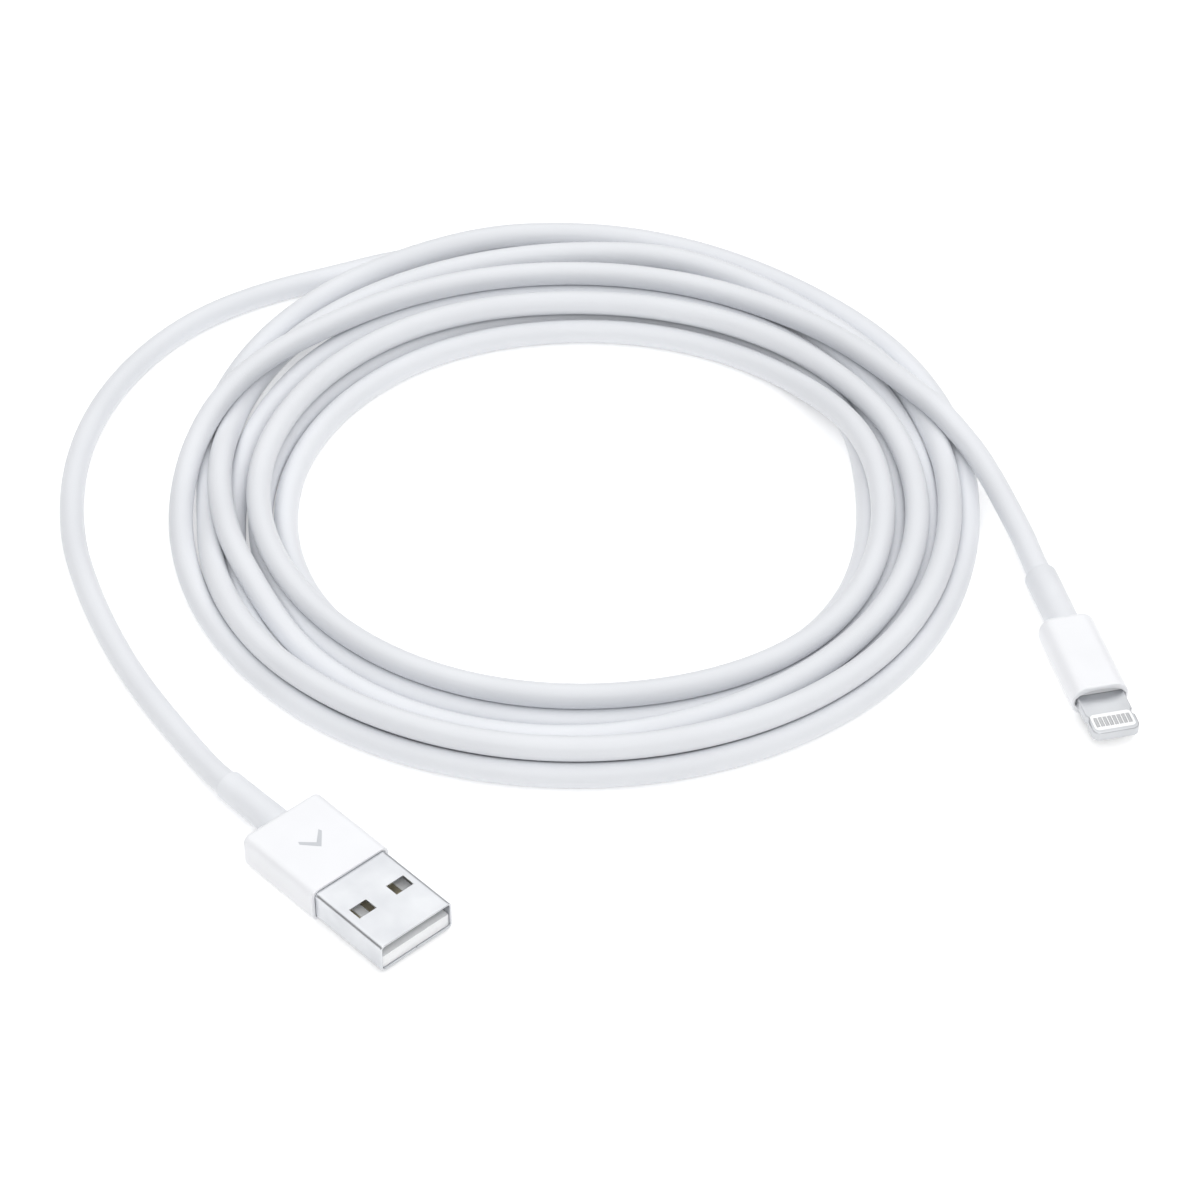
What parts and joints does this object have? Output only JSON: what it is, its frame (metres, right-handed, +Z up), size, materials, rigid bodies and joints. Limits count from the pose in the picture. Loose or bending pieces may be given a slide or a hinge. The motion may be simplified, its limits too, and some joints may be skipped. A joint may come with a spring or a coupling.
{
  "type": "charging cable",
  "caption": "White charging cable: a flat host plug with a metal shell, a round cord in a loose coil, and a small tab plug with contact pads on both faces.",
  "frame": {"origin": "on the surface it lies on, under the middle of the host plug, from the mouth of its shell to the free end of its strain relief", "axes": "+X along the host plug, out of the mouth of its shell; +Y to its left, towards the coil; +Z up"},
  "size_m": [0.1602, 0.1452, 0.007],
  "materials": {
    "cover_gloss": "moulded, gloss white",
    "relief_satin": "moulded, satin white",
    "cord_satin": "extruded jacket, satin white",
    "inner_plastic": "moulded, matt white",
    "insert_white": "moulded, satin white",
    "shell_steel": "pressed sheet, nickel plated",
    "tab_steel": "machined, satin plated",
    "contact_gold": "stamped, gold plated",
    "pad_metal": "plated",
    "crimp_tin": "stamped, tinned",
    "braid_copper": "braided copper",
    "board_green": "solder mask over glass laminate",
    "chip_black": "moulded epoxy",
    "wire_red": "extruded insulation",
    "wire_white": "extruded insulation",
    "wire_green": "extruded insulation",
    "wire_black": "extruded insulation"
  },
  "bodies": {
    "root": {"host_shell": "shell_steel", "host_insulator": "inner_plastic", "host_contact_1": "contact_gold", "host_contact_2": "contact_gold", "host_contact_3": "contact_gold", "host_contact_4": "contact_gold", "host_inner_mould": "inner_plastic", "host_cover": "cover_gloss", "host_strain_relief": "relief_satin", "host_crimp": "crimp_tin", "host_cord_jacket": "cord_satin", "host_cord_braid": "braid_copper", "host_wire_1": "wire_red", "host_wire_2": "wire_white", "host_wire_3": "wire_green", "host_wire_4": "wire_black", "device_tab_frame": "tab_steel", "device_contact_insert": "insert_white", "device_pad_top_1": "pad_metal", "device_pad_top_2": "pad_metal", "device_pad_top_3": "pad_metal", "device_pad_top_4": "pad_metal", "device_pad_top_5": "pad_metal", "device_pad_top_6": "pad_metal", "device_pad_top_7": "pad_metal", "device_pad_top_8": "pad_metal", "device_pad_bottom_1": "pad_metal", "device_pad_bottom_2": "pad_metal", "device_pad_bottom_3": "pad_metal", "device_pad_bottom_4": "pad_metal", "device_pad_bottom_5": "pad_metal", "device_pad_bottom_6": "pad_metal", "device_pad_bottom_7": "pad_metal", "device_pad_bottom_8": "pad_metal", "device_board": "board_green", "device_chip": "chip_black", "device_regulator": "chip_black", "device_shield_can": "crimp_tin", "device_inner_mould": "inner_plastic", "device_cover": "cover_gloss", "device_strain_relief": "relief_satin", "device_crimp": "crimp_tin", "device_cord_jacket": "cord_satin", "device_cord_braid": "braid_copper", "device_wire_1": "wire_red", "device_wire_2": "wire_white", "device_wire_3": "wire_green", "device_wire_4": "wire_black", "cord_host_lead": "cord_satin", "cord_coil": "cord_satin", "cord_device_lead": "cord_satin"}
  },
  "joints": []
}
